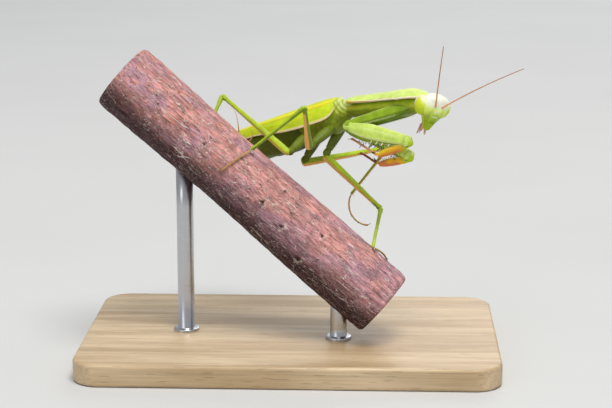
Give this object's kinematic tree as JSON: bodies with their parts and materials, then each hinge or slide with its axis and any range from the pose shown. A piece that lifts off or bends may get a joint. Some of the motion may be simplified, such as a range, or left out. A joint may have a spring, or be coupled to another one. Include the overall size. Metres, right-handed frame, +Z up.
{
  "type": "praying mantis model on a branch perch",
  "caption": "Life-size still model of a green praying mantis gripping a sloping cut branch with folded raptorial forelegs and turned head, on a flat display base with upright rods",
  "frame": {"origin": "centre of the underside of the stand's base plate, at the mount stand_foot", "axes": "+Z up; +X along the base plate towards the side that the mantis's head is on; +Y away from the side that shows the mantis's right flank. The mantis faces about 40 degrees from +X towards -Y."},
  "size_m": [0.0764, 0.0517, 0.0587],
  "materials": {
    "green_cuticle": "waxy mid green cuticle, soft satin sheen, pink or olive lower edges",
    "pronotum_shield": "pale yellow-green shield with a whitish pink margin, satin",
    "forewing": "leathery yellow-green folded wing with fine veins and a cream front margin",
    "face_cuticle": "pale green face, nearly white between the eyes, greener towards the mouth",
    "eye": "smooth yellow-green compound eye with a clear gloss",
    "mouthparts": "pinkish brown palps and jaws, matt",
    "antenna": "ringed orange-brown thread, matt",
    "orange_cuticle": "yellow-orange inner cuticle with dark-tipped teeth, satin",
    "foot_cuticle": "pinkish tan jointed foot, satin, darker at the claws",
    "bark": "purple-brown bark with fine pale cracks, matt, pale wood at the cut ends",
    "stand_wood": "pale oiled wood, satin",
    "stand_steel": "fine brushed steel"
  },
  "bodies": {
    "root": {"head": "face_cuticle", "eye_left": "eye", "eye_right": "eye", "mouthparts": "mouthparts", "antenna_left": "antenna", "antenna_right": "antenna", "neck": "green_cuticle", "prothorax": "green_cuticle", "pronotum": "pronotum_shield", "pterothorax": "green_cuticle", "abdomen": "green_cuticle", "cercus_left": "green_cuticle", "cercus_right": "green_cuticle", "tegmen_left": "forewing", "tegmen_right": "forewing", "fore_coxa_left": "green_cuticle", "fore_coxa_right": "green_cuticle", "fore_femur_left": "green_cuticle", "fore_femur_right": "green_cuticle", "fore_tibia_left": "orange_cuticle", "fore_tibia_right": "orange_cuticle", "fore_tarsus_left": "foot_cuticle", "fore_tarsus_right": "foot_cuticle", "mid_coxa_left": "green_cuticle", "mid_coxa_right": "green_cuticle", "mid_femur_left": "green_cuticle", "mid_femur_right": "green_cuticle", "mid_tibia_left": "green_cuticle", "mid_tibia_right": "green_cuticle", "mid_tarsus_left": "foot_cuticle", "mid_tarsus_right": "foot_cuticle", "hind_coxa_left": "green_cuticle", "hind_coxa_right": "green_cuticle", "hind_femur_left": "green_cuticle", "hind_femur_right": "green_cuticle", "hind_tibia_left": "green_cuticle", "hind_tibia_right": "green_cuticle", "hind_tarsus_left": "foot_cuticle", "hind_tarsus_right": "foot_cuticle", "perch_branch": "bark", "stand_base": "stand_wood", "stand_rod_1": "stand_steel", "stand_rod_2": "stand_steel"}
  },
  "joints": []
}
